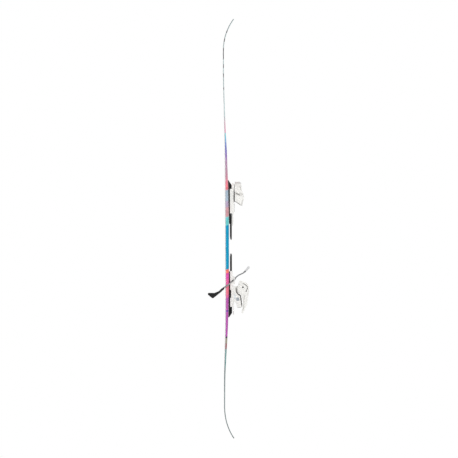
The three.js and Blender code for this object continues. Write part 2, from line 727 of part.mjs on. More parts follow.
function railPieces() {
  piece('front_rail', frontRail(), FINISH.black);
  piece('rear_rail', rearRail(), FINISH.black);
  for (const [name, places] of Object.entries(RAIL_SCREWS)) {
    places.forEach(([x, y], i) => piece(`${name}_${i + 1}`, railScrew(x, y), FINISH.steel));
  }
}

function toePieces() {
  piece('toe_base', toeBase(), FINISH.white);
  piece('toe_seat', toeSeat(), FINISH.black);
  piece('toe_housing', toeHousing(), FINISH.white);
  piece('toe_cap', toeCap(), FINISH.white);
  piece('toe_wing_left', toeWing(), FINISH.white);
  piece('toe_wing_right', mirrored(toeWing()), FINISH.white);
  piece('wing_pin_left', wingPin(), FINISH.steel);
  piece('wing_pin_right', mirrored(wingPin()), FINISH.steel);
  piece('toe_pull_rod', toePullRod(), FINISH.steel);
  piece('toe_spring', springAt({ radius: 5.9, wire: 1.3, turns: 8, length: 36 }, 164.8, 0, TOE.springZ), FINISH.spring);
  piece('toe_indicator_nut', ring(7.8, 3.3, 203, 209, TOE.springZ), FINISH.red);
  piece('toe_release_screw', releaseScrew(7.1, 214, 200.5, 1, TOE.springZ), FINISH.steel);
  piece('toe_window', toeWindow(), FINISH.clear);
  piece('afd_base', afdBase(), FINISH.white);
  piece('afd_plate', afdPlate(), FINISH.white);
  piece('toe_latch', toeLatch(), FINISH.black);
}

function heelPieces() {
  piece('heel_base', heelBase(), FINISH.white);
  piece('heel_carriage', heelCarriage(), FINISH.black);
  piece('heel_housing', heelHousing(), FINISH.white);
  piece('heel_cup', heelCup(), FINISH.white);
  piece('heel_lever', heelLever(), FINISH.white);
  piece('heel_axle', heelAxle(), FINISH.steel);
  piece('heel_piston', heelPiston(), FINISH.steel);
  piece('heel_spring', springAt({ radius: 5, wire: 1.2, turns: 5, length: 22 }, -213.2, 0, HEEL.springZ), FINISH.spring);
  piece('heel_indicator_nut', ring(6.6, 3.3, -221.5, -215.5, HEEL.springZ), FINISH.red);
  piece('heel_release_screw', releaseScrew(6.2, -224.5, -214.9, -1, HEEL.springZ), FINISH.steel);
  piece('heel_window', heelWindow(), FINISH.clear);
}

function brakePieces() {
  piece('brake_housing', brakeHousing(), FINISH.white);
  piece('brake_wire_left', brakeWire(), FINISH.steel);
  piece('brake_wire_right', mirrored(brakeWire()), FINISH.steel);
  piece('brake_foot_left', brakeFoot(), FINISH.black);
  piece('brake_foot_right', mirrored(brakeFoot()), FINISH.black);
  piece('brake_pedal', brakePedal(), FINISH.steel);
  piece('brake_pad', brakePad(), FINISH.white);
  piece('brake_spring', springAt({ radius: 3.9, wire: 0.65, turns: 5, length: 14 }, BRAKE.x, -7, BRAKE.z, true), FINISH.spring);
}

skiPieces();
railPieces();
toePieces();
heelPieces();
brakePieces();

export default model;
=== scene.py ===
"""A twin-tip alpine ski with a rail-mounted step-in binding and a ski brake, finished over its frame."""

import json
import math

import bpy
from bpy.props import FloatProperty, FloatVectorProperty, PointerProperty
from bpy.types import Operator, Panel, PropertyGroup
from mathutils import Matrix, Vector

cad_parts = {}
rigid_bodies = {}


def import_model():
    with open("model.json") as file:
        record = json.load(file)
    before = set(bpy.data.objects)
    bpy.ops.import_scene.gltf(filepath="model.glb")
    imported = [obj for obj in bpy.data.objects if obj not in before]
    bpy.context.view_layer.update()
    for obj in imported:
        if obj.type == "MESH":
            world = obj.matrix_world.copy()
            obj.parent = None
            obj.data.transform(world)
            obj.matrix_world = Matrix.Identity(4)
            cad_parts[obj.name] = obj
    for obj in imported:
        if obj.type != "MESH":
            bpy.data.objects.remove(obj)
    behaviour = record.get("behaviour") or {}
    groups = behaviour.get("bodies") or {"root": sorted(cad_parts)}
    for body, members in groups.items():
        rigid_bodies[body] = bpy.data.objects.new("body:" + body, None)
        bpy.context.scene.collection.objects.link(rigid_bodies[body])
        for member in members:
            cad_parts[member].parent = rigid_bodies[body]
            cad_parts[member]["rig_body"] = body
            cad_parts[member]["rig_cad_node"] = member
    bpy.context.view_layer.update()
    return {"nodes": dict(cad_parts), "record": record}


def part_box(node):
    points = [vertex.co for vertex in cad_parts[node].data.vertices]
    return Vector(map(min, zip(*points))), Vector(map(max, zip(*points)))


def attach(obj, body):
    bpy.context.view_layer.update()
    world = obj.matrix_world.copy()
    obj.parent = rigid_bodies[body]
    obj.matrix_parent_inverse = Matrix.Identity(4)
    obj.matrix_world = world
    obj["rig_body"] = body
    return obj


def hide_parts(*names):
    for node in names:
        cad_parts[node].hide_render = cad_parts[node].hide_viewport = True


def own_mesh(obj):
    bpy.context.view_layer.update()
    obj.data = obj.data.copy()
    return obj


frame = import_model()

bl_info = {
    "name": "Alpine ski with binding",
    "version": (1, 0, 0),
    "blender": (4, 5, 0),
    "location": "View3D > Sidebar > Ski",
    "description": "Builds the visible surfaces of a ski, its binding and its brake",
    "category": "Object",
}

MM = 0.001


# ---- the ski's surface --------------------------------------------------------------------

WAIST_X = -20
WAIST_WIDTH = 78
FLAT_HALF = 60
CAMBER = 6
ROCKER_POWER = 2.4
ROUND_POWER = 2.4
TIP = {"end": 817, "widest": 640, "width": 120, "contact": 640, "rise_from": 690, "rise": 38}
TAIL = {"end": -706, "widest": -560, "width": 106, "contact": -520, "rise_from": -580, "rise": 34}
THICKNESS = (
    (-706, 3.4), (-600, 3.6), (-530, 4.4), (-465, 5.0), (-403, 6.9), (-348, 8.7), (-294, 10.5),
    (-240, 11.4), (-167, 13.0), (-40, 14.0), (70, 14.0), (160, 12.7), (240, 10.9), (287, 9.4),
    (341, 8.0), (378, 6.5), (421, 5.0), (486, 4.0), (581, 3.5), (817, 3.4),
)
SKIN = 1.0
EDGE_SPAN = (-650, 752)
EDGE_WIDTH = 2.1
EDGE_BEND = 0.2
CAP_GAP = 0.2
BASE_GAP = 0.3
BASE_THICKNESS = 1.2


def clamp(value, low=0.0, high=1.0):
    return max(low, min(high, value))


def mix(a, b, t):
    return a + (b - a) * t


def thickness(x):
    """Ski thickness in millimetres, smooth between its stations."""
    x = clamp(x, THICKNESS[0][0], THICKNESS[-1][0])
    for (x0, t0), (x1, t1) in zip(THICKNESS, THICKNESS[1:]):
        if x <= x1:
            return mix(t0, t1, (x - x0) / (x1 - x0))
    return THICKNESS[-1][1]


def edge_height(x):
    return clamp(0.3 * thickness(x), 1.0, 2.0)


def end_for(x):
    return TIP if x > WAIST_X else TAIL


def half_width(x):
    end = end_for(x)
    along = (x - WAIST_X) / (end["widest"] - WAIST_X)
    if along <= 1:
        return mix(WAIST_WIDTH, end["width"], math.sin(math.pi / 2 * along) ** 2) / 2
    turn = (x - end["widest"]) / (end["end"] - end["widest"])
    return end["width"] / 2 * (1 - (0.999 * turn) ** ROUND_POWER) ** (1 / 2.1)


def base_z(x):
    end = end_for(x)
    flat = math.copysign(FLAT_HALF, end["end"])
    along = clamp((x - flat) / (end["contact"] - flat))
    lift = clamp((x - end["rise_from"]) / (end["end"] - end["rise_from"]))
    return end["rise"] * lift ** ROCKER_POWER - CAMBER * math.sin(math.pi / 2 * along ** 2) ** 2


def on_ski(x, y, h):
    """The point, in metres, a height h above the base and square to it."""
    slope = base_z(x + 0.5) - base_z(x - 0.5)
    normal = Vector((-slope, 0, 1)).normalized()
    return (Vector((x, y, base_z(x))) + normal * h) * MM


def stations(start, stop):
    """Places along the ski, closer together where its ends round off."""
    tail_turn = [mix(TAIL["end"], TAIL["widest"], (i / 30) ** 2) for i in range(30)]
    body = [mix(TAIL["widest"], TIP["widest"], i / 100) for i in range(101)]
    tip_turn = [mix(TIP["end"], TIP["widest"], (i / 34) ** 2) for i in range(34)]
    inner = [x for x in tail_turn + body + tip_turn[::-1] if start + 0.4 < x < stop - 0.4]
    return [start, *inner, stop]


# ---- modelling helpers --------------------------------------------------------------------

# A strip starts this far out to the side and is projected onto its shell. What stays out has missed it.
STRIP_START = 70
STRIP_MISSED = 60
STRIP_LIFT = 0.1


def only(obj):
    """Selects one object and nothing else."""
    bpy.ops.object.select_all(action="DESELECT")
    obj.hide_viewport = False
    obj.select_set(True)
    bpy.context.view_layer.objects.active = obj
    return obj


def edit(obj, pick="SELECT"):
    only(obj)
    bpy.ops.object.mode_set(mode="EDIT")
    bpy.ops.mesh.select_all(action=pick)


def done():
    bpy.ops.object.mode_set(mode="OBJECT")


def apply_modifier(obj, kind, **settings):
    only(obj)
    modifier = obj.modifiers.new(kind.title(), kind)
    for key, value in settings.items():
        setattr(modifier, key, value)
    bpy.ops.object.modifier_apply(modifier=modifier.name)
    return obj


def smooth(obj, angle=35):
    only(obj)
    bpy.ops.object.shade_smooth_by_angle(angle=math.radians(angle), keep_sharp_edges=False)
    return obj


def outward(obj):
    edit(obj)
    bpy.ops.mesh.remove_doubles(threshold=1e-6)
    bpy.ops.mesh.normals_make_consistent(inside=False)
    done()
    return obj


def finish_piece(obj, name, body, slot, material, *nodes):
    """Names a piece, gives it its finish, and hands it to the frame."""
    obj.name = name
    obj.data.name = name
    obj.data.materials.clear()
    obj.data.materials.append(material)
    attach(obj, body)
    if nodes:
        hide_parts(*nodes)
    return obj


def tube(rings):
    """A closed skin through rings of points, started from a grid."""
    rows = len(rings)
    cols = len(rings[0])
    bpy.ops.object.select_all(action="DESELECT")
    bpy.ops.mesh.primitive_grid_add(x_subdivisions=cols, y_subdivisions=rows - 1, size=1)
    obj = bpy.context.object
    for vertex in obj.data.vertices:
        col = round((vertex.co.x + 0.5) * cols) % cols
        row = round((vertex.co.y + 0.5) * (rows - 1))
        vertex.co = rings[row][col]
    edit(obj)
    bpy.ops.mesh.remove_doubles(threshold=1e-7)
    bpy.ops.mesh.select_all(action="DESELECT")
    bpy.ops.mesh.select_non_manifold()
    bpy.ops.mesh.fill_holes(sides=0)
    bpy.ops.mesh.select_all(action="SELECT")
    bpy.ops.mesh.normals_make_consistent(inside=False)
    done()
    return obj


def seam(path, target, sign, width, taper=True):
    """A thin strip laid onto the side of a piece, along a side-view path of X and Z in millimetres. The dark
    strips are painted shade in gaps and creases; the others are printed panels.
    """
    points = [Vector((x, 0, z)) for x, z in smooth_path(path)]
    last = len(points) - 1
    bpy.ops.object.select_all(action="DESELECT")
    bpy.ops.mesh.primitive_grid_add(x_subdivisions=last, y_subdivisions=2, size=1)
    strip = bpy.context.object
    for vertex in strip.data.vertices:
        i = round((vertex.co.x + 0.5) * last)
        ahead = points[min(i + 1, last)] - points[max(i - 1, 0)]
        across = Vector((-ahead.z, 0, ahead.x)).normalized()
        ends = min(i, last - i)
        half = width / 2 * (min(1, 0.3 + 0.35 * ends) if taper else 1)
        aside = Vector((0, sign * STRIP_START, 0))
        vertex.co = (points[i] + across * (2 * half * vertex.co.y) + aside) * MM
    apply_modifier(
        strip, "SHRINKWRAP", target=target, wrap_method="PROJECT", use_project_y=True,
        use_negative_direction=sign > 0, use_positive_direction=sign < 0, offset=STRIP_LIFT * MM,
    )
    edit(strip, "DESELECT")
    done()
    for vertex in strip.data.vertices:
        vertex.select = abs(vertex.co.y) > STRIP_MISSED * MM
    bpy.ops.object.mode_set(mode="EDIT")
    bpy.ops.mesh.delete(type="VERT")
    done()
    outward_side(strip, sign)
    apply_modifier(strip, "SOLIDIFY", thickness=bpy.context.scene.ski_look.strip_depth, offset=-1)
    return outward(strip)


def outward_side(obj, sign):
    """Turns a thin sheet's faces towards its own side of the ski."""
    edit(obj)
    bpy.ops.mesh.normals_make_consistent(inside=False)
    done()
    facing = sum(face.normal.y * face.area for face in obj.data.polygons)
    if facing * sign < 0:
        edit(obj)
        bpy.ops.mesh.flip_normals()
        done()


def smooth_path(path, steps=6):
    """Points on a smooth curve through the given ones."""
    points = [Vector(p) for p in path]
    padded = [points[0] * 2 - points[1], *points, points[-1] * 2 - points[-2]]
    curve = []
    for p0, p1, p2, p3 in zip(padded, padded[1:], padded[2:], padded[3:]):
        for i in range(steps):
            t = i / steps
            curve.append(0.5 * (
                p1 * 2 + (p2 - p0) * t + (p0 * 2 - p1 * 5 + p2 * 4 - p3) * t ** 2
                + (p1 * 3 - p0 - p2 * 3 + p3) * t ** 3
            ))
    return [*curve, points[-1]]


def seams(name, node, path, width, finish="seam", sides=(1, -1), taper=True):
    """The same strip on the left and right faces of a piece's shell."""
    target = bpy.data.objects[f"{node}_shell"]
    for sign in sides:
        line = seam(path, target, sign, width, taper)
        side = "left" if sign > 0 else "right"
        # Dark strips take the black slot's name, but their colour is painted shade in the gaps and creases.
        slot = "smoked_window" if "panel" in finish else "black_plastic"
        finish_piece(line, f"{name}_{side}", NODE_BODY[node], slot, materials()[finish])


def fine_copy(node, bevel, segments=3, angle=28):
    """A copy of a CAD node with its flat faces joined and its corners rounded."""
    source = frame["nodes"][node]
    obj = source.copy()
    obj.data = source.data.copy()
    obj.parent = None
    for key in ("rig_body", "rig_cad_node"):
        del obj[key]
    bpy.context.scene.collection.objects.link(obj)
    edit(obj)
    bpy.ops.mesh.remove_doubles(threshold=2e-6)
    bpy.ops.mesh.dissolve_limited(angle_limit=math.radians(1.5))
    done()
    if bevel:
        apply_modifier(
            obj, "BEVEL", width=bevel * MM, segments=segments,
            limit_method="ANGLE", angle_limit=math.radians(angle), harden_normals=False,
        )
    smooth(obj, 40)
    return apply_modifier(obj, "WEIGHTED_NORMAL", keep_sharp=True, weight=60)


# ---- materials ----------------------------------------------------------------------------


def link(tree, source, target):
    tree.links.new(source, target)


def blank(name):
    """A new material with its node tree and its shader."""
    material = bpy.data.materials.new(name)
    material.use_nodes = True
    return material, material.node_tree, material.node_tree.nodes["Principled BSDF"]


def node_at(tree, kind, **values):
    node = tree.nodes.new(kind)
    for key, value in values.items():
        setattr(node, key, value)
    return node


def group_socket(group, name, direction, kind, default=None):
    socket = group.interface.new_socket(name=name, in_out=direction, socket_type=kind)
    if default is not None:
        socket.default_value = default
    return socket


def grain_group():
    """Fine moulded grain: a roughness value and a height from object space."""
    group = bpy.data.node_groups.new("Moulded grain", "ShaderNodeTree")
    group_socket(group, "Scale", "INPUT", "NodeSocketFloat", 1500.0)
    group_socket(group, "Roughness", "INPUT", "NodeSocketFloat", 0.4)
    group_socket(group, "Spread", "INPUT", "NodeSocketFloat", 0.1)
    group_socket(group, "Roughness", "OUTPUT", "NodeSocketFloat")
    group_socket(group, "Height", "OUTPUT", "NodeSocketFloat")
    entry = group.nodes.new("NodeGroupInput")
    leave = group.nodes.new("NodeGroupOutput")
    coords = group.nodes.new("ShaderNodeTexCoord")
    fine = node_at(group, "ShaderNodeTexNoise")
    fine.inputs["Detail"].default_value = 2
    broad = node_at(group, "ShaderNodeTexNoise")
    broad.inputs["Scale"].default_value = 45
    broad.inputs["Detail"].default_value = 5
    link(group, coords.outputs["Object"], fine.inputs["Vector"])
    link(group, coords.outputs["Object"], broad.inputs["Vector"])
    link(group, entry.outputs["Scale"], fine.inputs["Scale"])
    centred = node_at(group, "ShaderNodeMath", operation="SUBTRACT")
    centred.inputs[1].default_value = 0.5
    spread = node_at(group, "ShaderNodeMath", operation="MULTIPLY_ADD")
    link(group, broad.outputs["Fac"], centred.inputs[0])
    link(group, centred.outputs[0], spread.inputs[0])
    link(group, entry.outputs["Spread"], spread.inputs[1])
    link(group, entry.outputs["Roughness"], spread.inputs[2])
    link(group, spread.outputs[0], leave.inputs["Roughness"])
    link(group, fine.outputs["Fac"], leave.inputs["Height"])
    return group


GROUPS = {}


def shared(name, build):
    if name not in GROUPS:
        GROUPS[name] = build()
    return GROUPS[name]


def plastic(name, color, roughness, spread=0.12, scale=1600.0, bump=0.06, coat=0.0, tint=0.04, shine=0.5):
    """Moulded plastic with fine grain and a faint cloudiness in its colour."""
    material, tree, shader = blank(name)
    grain = node_at(tree, "ShaderNodeGroup", node_tree=shared("grain", grain_group))
    grain.inputs["Scale"].default_value = scale
    grain.inputs["Roughness"].default_value = roughness
    grain.inputs["Spread"].default_value = spread
    coords = tree.nodes.new("ShaderNodeTexCoord")
    cloud = node_at(tree, "ShaderNodeTexNoise")
    cloud.inputs["Scale"].default_value = 30
    cloud.inputs["Detail"].default_value = 6
    ramp = tree.nodes.new("ShaderNodeValToRGB")
    ramp.color_ramp.elements[0].position = 0.3
    ramp.color_ramp.elements[1].position = 0.7
    ramp.color_ramp.elements[0].color = (*[max(0, c * (1 - tint) - tint * 0.05) for c in color], 1)
    ramp.color_ramp.elements[1].color = (*[min(1, c * (1 + tint)) for c in color], 1)
    height = tree.nodes.new("ShaderNodeBump")
    height.inputs["Strength"].default_value = bump
    height.inputs["Distance"].default_value = 0.0004
    link(tree, coords.outputs["Object"], cloud.inputs["Vector"])
    link(tree, cloud.outputs["Fac"], ramp.inputs["Fac"])
    link(tree, ramp.outputs["Color"], shader.inputs["Base Color"])
    link(tree, grain.outputs["Roughness"], shader.inputs["Roughness"])
    link(tree, grain.outputs["Height"], height.inputs["Height"])
    link(tree, height.outputs["Normal"], shader.inputs["Normal"])
    shader.inputs["Specular IOR Level"].default_value = shine
    shader.inputs["Coat Weight"].default_value = coat
    shader.inputs["Coat Roughness"].default_value = 0.12
    return material


def metal(name, color, roughness, stretch=(8, 400, 400), bump=0.08):
    """Ground or drawn steel, with fine lines along the ski."""
    material, tree, shader = blank(name)
    coords = tree.nodes.new("ShaderNodeTexCoord")
    mapping = tree.nodes.new("ShaderNodeMapping")
    mapping.inputs["Scale"].default_value = stretch
    lines = node_at(tree, "ShaderNodeTexNoise")
    lines.inputs["Scale"].default_value = 6
    lines.inputs["Detail"].default_value = 8
    rough = tree.nodes.new("ShaderNodeMapRange")
    rough.inputs["To Min"].default_value = roughness - 0.08
    rough.inputs["To Max"].default_value = roughness + 0.12
    ramp = tree.nodes.new("ShaderNodeValToRGB")
    ramp.color_ramp.elements[0].color = (*[c * 0.8 for c in color], 1)
    ramp.color_ramp.elements[1].color = (*color, 1)
    height = tree.nodes.new("ShaderNodeBump")
    height.inputs["Strength"].default_value = bump
    height.inputs["Distance"].default_value = 0.0002
    link(tree, coords.outputs["Object"], mapping.inputs["Vector"])
    link(tree, mapping.outputs["Vector"], lines.inputs["Vector"])
    link(tree, lines.outputs["Fac"], rough.inputs["Value"])
    link(tree, lines.outputs["Fac"], ramp.inputs["Fac"])
    link(tree, lines.outputs["Fac"], height.inputs["Height"])
    link(tree, rough.outputs["Result"], shader.inputs["Roughness"])
    link(tree, ramp.outputs["Color"], shader.inputs["Base Color"])
    link(tree, height.outputs["Normal"], shader.inputs["Normal"])
    shader.inputs["Metallic"].default_value = 1.0
    return material


def srgb(r, g, b):
    """A display colour from 0 to 255 as the linear colour that a shader takes."""
    return tuple((c / 255 / 12.92) if c <= 10 else ((c / 255 + 0.055) / 1.055) ** 2.4 for c in (r, g, b))


# The printed cap behind the middle, from the tail: where each flat colour starts, in millimetres.
TAIL_BANDS = (
    (-706, (118, 140, 140)), (-455, (122, 150, 150)), (-448, (116, 162, 160)), (-382, (132, 166, 160)),
    (-378, (160, 98, 104)), (-362, (150, 96, 104)), (-360, (158, 150, 132)), (-341, (52, 44, 66)),
    (-335, (188, 90, 180)), (-246, (112, 72, 168)), (-240, (190, 92, 178)), (-198, (232, 112, 168)),
    (-186, (242, 124, 148)), (-153, (240, 108, 170)), (-131, (228, 84, 176)), (-109, (255, 126, 116)),
    (-94, (0, 156, 198)),
)

# The printed cap before the middle: colours that run into each other, in millimetres.
TIP_BANDS = (
    (0, (0, 156, 198)), (66, (0, 156, 198)), (67, (112, 212, 214)), (95, (112, 212, 214)),
    (97, (216, 160, 166)), (130, (212, 160, 168)), (134, (188, 168, 196)), (154, (186, 172, 200)),
    (157, (178, 198, 216)),
    (196, (178, 198, 216)), (198, (250, 132, 144)), (221, (244, 134, 150)), (238, (214, 144, 164)),
    (273, (198, 156, 180)), (304, (184, 146, 182)), (322, (146, 112, 186)), (341, (110, 98, 186)),
    (370, (108, 134, 206)), (394, (112, 196, 220)), (409, (156, 216, 222)), (411, (240, 158, 192)),
    (445, (230, 170, 194)), (463, (196, 196, 204)), (475, (180, 204, 206)), (817, (176, 198, 200)),
)

# Plain dashes on the rim near the tip: the middle and the length of each, and how far out they start.
RIM_MARKS = ((771, 9), (740, 12), (692, 42), (646, 12), (612, 13), (565, 9))
RIM_FROM = 37

# How far a band runs forward for each unit across, and where across and along the ski it is true.
BAND_SLANT = 0.55
BAND_SIDE = 42
BAND_SETBACK = 3
BAND_WOBBLE = 6


def band_ramp(tree, bands, start, stop, sharp):
    """A colour ramp with one stop for each place along the ski."""
    ramp = tree.nodes.new("ShaderNodeValToRGB")
    elements = ramp.color_ramp.elements
    elements[0].position = 0
    elements[0].color = (*srgb(*bands[0][1]), 1)
    elements.remove(elements[1])
    for x, color in bands[1:]:
        place = (x - start) / (stop - start)
        element = elements.new(clamp(place))
        element.color = (*srgb(*color), 1)
    ramp.color_ramp.interpolation = "CONSTANT" if sharp else "LINEAR"
    return ramp


def rim_marks(tree, parts):
    """A mask of plain dark dashes along the rim near the tip."""
    out = node_at(tree, "ShaderNodeMath", operation="ABSOLUTE")
    link(tree, parts.outputs["Y"], out.inputs[0])
    rim = node_at(tree, "ShaderNodeMath", operation="GREATER_THAN")
    rim.inputs[1].default_value = RIM_FROM * MM
    link(tree, out.outputs[0], rim.inputs[0])
    total = None
    for middle, length in RIM_MARKS:
        near = node_at(tree, "ShaderNodeMath", operation="COMPARE")
        near.inputs[1].default_value = middle * MM
        near.inputs[2].default_value = length / 2 * MM
        link(tree, parts.outputs["X"], near.inputs[0])
        if total is None:
            total = near.outputs[0]
            continue
        both = node_at(tree, "ShaderNodeMath", operation="MAXIMUM")
        link(tree, total, both.inputs[0])
        link(tree, near.outputs[0], both.inputs[1])
        total = both.outputs[0]
    mask = node_at(tree, "ShaderNodeMath", operation="MULTIPLY")
    link(tree, total, mask.inputs[0])
    link(tree, rim.outputs[0], mask.inputs[1])
    return mask.outputs[0]


def printed_cap():
    """Gloss topsheet print: colour bands that slant across the ski, with soft washes inside them."""
    material, tree, shader = blank("Printed cap")
    coords = tree.nodes.new("ShaderNodeTexCoord")
    parts = tree.nodes.new("ShaderNodeSeparateXYZ")
    link(tree, coords.outputs["Object"], parts.inputs[0])
    slant = node_at(tree, "ShaderNodeMath", operation="MULTIPLY_ADD")
    slant.inputs[1].default_value = BAND_SLANT
    link(tree, parts.outputs["Y"], slant.inputs[0])
    along = node_at(tree, "ShaderNodeMath", operation="ADD")
    along.inputs[1].default_value = -(BAND_SLANT * BAND_SIDE + BAND_SETBACK) * MM
    link(tree, parts.outputs["X"], slant.inputs[2])
    link(tree, slant.outputs[0], along.inputs[0])
    wobble = node_at(tree, "ShaderNodeTexNoise")
    wobble.inputs["Scale"].default_value = 9
    wobble.inputs["Detail"].default_value = 3
    link(tree, coords.outputs["Object"], wobble.inputs["Vector"])
    shift = node_at(tree, "ShaderNodeMath", operation="MULTIPLY_ADD")
    shift.inputs[1].default_value = BAND_WOBBLE * MM
    link(tree, wobble.outputs["Fac"], shift.inputs[0])
    link(tree, along.outputs[0], shift.inputs[2])
    halves = []
    for stops, start, stop, flat in (
        (TAIL_BANDS, TAIL["end"], 0, True), (TIP_BANDS, 0, TIP["end"], False),
    ):
        ranged = tree.nodes.new("ShaderNodeMapRange")
        ranged.inputs["From Min"].default_value = start * MM
        ranged.inputs["From Max"].default_value = stop * MM
        link(tree, shift.outputs[0], ranged.inputs["Value"])
        ramp = band_ramp(tree, stops, start, stop, flat)
        link(tree, ranged.outputs["Result"], ramp.inputs["Fac"])
        halves.append(ramp.outputs["Color"])
    front = node_at(tree, "ShaderNodeMath", operation="GREATER_THAN")
    front.inputs[1].default_value = 0
    link(tree, shift.outputs[0], front.inputs[0])
    bands = node_at(tree, "ShaderNodeMix", data_type="RGBA")
    link(tree, front.outputs[0], bands.inputs["Factor"])
    link(tree, halves[0], bands.inputs[6])
    link(tree, halves[1], bands.inputs[7])
    wash = node_at(tree, "ShaderNodeTexNoise")
    wash.inputs["Scale"].default_value = 26
    wash.inputs["Detail"].default_value = 8
    wash.inputs["Distortion"].default_value = 1.2
    link(tree, coords.outputs["Object"], wash.inputs["Vector"])
    tone = tree.nodes.new("ShaderNodeMapRange")
    tone.inputs["From Min"].default_value = 0.3
    tone.inputs["From Max"].default_value = 0.7
    tone.inputs["To Min"].default_value = 0.88
    tone.inputs["To Max"].default_value = 1.08
    link(tree, wash.outputs["Fac"], tone.inputs["Value"])
    colour = node_at(tree, "ShaderNodeMix", data_type="RGBA", blend_type="MULTIPLY")
    colour.inputs["Factor"].default_value = 1.0
    link(tree, bands.outputs[2], colour.inputs[6])
    link(tree, tone.outputs["Result"], colour.inputs[7])
    marked = node_at(tree, "ShaderNodeMix", data_type="RGBA")
    marked.inputs[7].default_value = (0.03, 0.03, 0.035, 1)
    link(tree, rim_marks(tree, parts), marked.inputs["Factor"])
    link(tree, colour.outputs[2], marked.inputs[6])
    link(tree, marked.outputs[2], shader.inputs["Base Color"])
    shader.inputs["Roughness"].default_value = 0.36
    shader.inputs["Specular IOR Level"].default_value = 0.2
    shader.inputs["Coat Weight"].default_value = 0.12
    shader.inputs["Coat Roughness"].default_value = 0.1
    return material


MATERIALS = {}


def materials():
    """Every finish, made once."""
    if MATERIALS:
        return MATERIALS
    look = bpy.context.scene.ski_look
    MATERIALS.update(
        white=plastic("White binding plastic", look.binding_white, 0.34, bump=0.03, coat=0.15),
        black=plastic("Black binding plastic", look.binding_black, 0.5, bump=0.12, shine=0.25),
        grey=plastic("Grey binding plastic", (0.16, 0.165, 0.175), 0.5, bump=0.1),
        pad=plastic("Sole plate", (0.62, 0.63, 0.64), 0.45, bump=0.05),
        # Painted shade: a near-black strip that darkens the gaps between the white shells, where shade
        # falls.
        seam=plastic("Painted gap shade", (0.02, 0.018, 0.015), 0.7, bump=0.04, shine=0.15),
        # Painted shade: a dark grey strip along the creases of the white shells.
        line=plastic("Painted crease shade", (0.25, 0.24, 0.22), 0.7, bump=0.02, shine=0.2),
        axle=metal("Dark axle steel", (0.07, 0.07, 0.07), 0.45),
        panel=plastic("Smoked panel", (0.30, 0.34, 0.38), 0.3, bump=0.02, coat=0.4),
        pale_panel=plastic("Pale panel", (0.62, 0.68, 0.72), 0.3, bump=0.02, coat=0.4),
        window=plastic("Indicator window", (0.24, 0.32, 0.38), 0.12, spread=0.02, bump=0.0, coat=0.8),
        red=plastic("Indicator nut", (0.6, 0.05, 0.03), 0.4),
        base=plastic("Running base", look.running_base, 0.42, scale=900.0, bump=0.05),
        laminate=plastic("Glass laminate", (0.6, 0.58, 0.42), 0.5),
        wood=plastic("Core wood", (0.5, 0.32, 0.15), 0.6),
        steel=metal("Steel", look.steel, 0.3),
        spring=metal("Spring steel", (0.2, 0.2, 0.21), 0.4),
        cap=printed_cap(),
    )
    return MATERIALS


SLOT_FINISH = {
    "running_base": "base",
    "steel": "steel",
    "glass_laminate": "laminate",
    "core_wood": "wood",
    "printed_cap": "cap",
    "black_plastic": "black",
    "grey_plastic": "grey",
    "white_plastic": "white",
    "slide_plate": "pad",
    "smoked_window": "window",
    "red_plastic": "red",
    "spring_steel": "spring",
}
NODE_SLOT = {part["node"]: part["material_slot"] for part in frame["record"]["subparts"]}
NODE_BODY = {
    node: body for body, nodes in frame["record"]["behaviour"]["bodies"].items() for node in nodes
}


def finish_for(node):
    return materials()[SLOT_FINISH[NODE_SLOT[node]]]


def refine(node, bevel, segments=3, angle=28):
    """Replaces a CAD node with its rounded copy."""
    obj = fine_copy(node, bevel * bpy.context.scene.ski_look.rounding, segments, angle)
    return finish_piece(obj, f"{node}_shell", NODE_BODY[node], NODE_SLOT[node], finish_for(node), node)


# ---- settings -----------------------------------------------------------------------------


class SkiLook(PropertyGroup):
    binding_white: FloatVectorProperty(
        name="Binding white", description="Colour of the binding's light plastic",
        subtype="COLOR", size=3, min=0, max=1, default=(0.83, 0.825, 0.80),
    )
    binding_black: FloatVectorProperty(
        name="Binding black", description="Colour of the rails and brake feet",
        subtype="COLOR", size=3, min=0, max=1, default=(0.008, 0.008, 0.009),
    )
    running_base: FloatVectorProperty(
        name="Running base", description="Colour of the ski's running base",
        subtype="COLOR", size=3, min=0, max=1, default=(0.055, 0.062, 0.068),
    )
    steel: FloatVectorProperty(
        name="Steel", description="Colour of the edges, screws and brake wires",
        subtype="COLOR", size=3, min=0, max=1, default=(0.42, 0.42, 0.43),
    )
    rounding: FloatProperty(
        name="Rounding", description="Share of each moulded part's own corner radius that is used",
        subtype="FACTOR", min=0, max=1, default=1,
    )
    # The dark strips are painted shade in the gaps and creases of the white parts; the panels use the same
    # depth.
    strip_depth: FloatProperty(
        name="Strip depth", description="Thickness of the dark strips along the parts' joints",
        unit="LENGTH", min=0.0002, default=0.0005,
    )


# ---- operators ----------------------------------------------------------------------------


